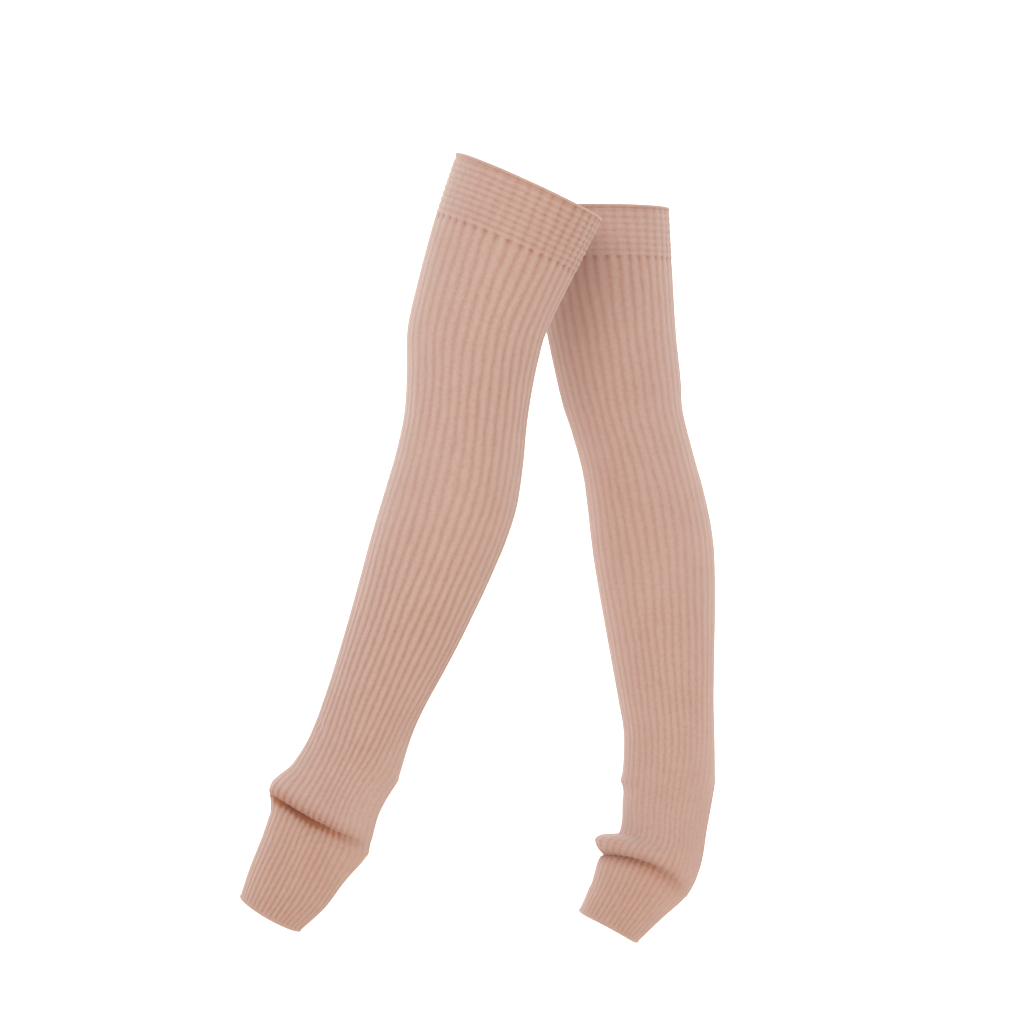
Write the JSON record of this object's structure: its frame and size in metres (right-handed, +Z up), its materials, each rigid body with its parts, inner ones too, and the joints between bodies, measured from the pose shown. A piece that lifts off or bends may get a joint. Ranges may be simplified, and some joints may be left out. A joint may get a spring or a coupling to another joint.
{
  "type": "pair of leg warmers",
  "caption": "Pair of thigh-high rib-knit stirrup leg warmers in their hollow worn form, each with an elastic cuff, an open heel and a foot tube that ends in a rolled hem.",
  "frame": {"origin": "midway between the centres of the two cuff mouths, where the pair is held up", "axes": "+Z up along the legs, toes toward -X, the left leg warmer at -Y and the right one at +Y"},
  "size_m": [0.4754, 0.3008, 0.7914],
  "materials": {
    "cuff_knit": "dusty pink rib knit with elastic rows, matt with a soft nap",
    "leg_knit": "dusty pink rib knit, matt with a soft nap",
    "stirrup_knit": "dusty pink rib knit, matt with a soft nap, rolled edge"
  },
  "bodies": {
    "root": {"left_cuff": "cuff_knit", "left_leg": "leg_knit", "left_stirrup": "stirrup_knit", "right_cuff": "cuff_knit", "right_leg": "leg_knit", "right_stirrup": "stirrup_knit"}
  },
  "joints": []
}
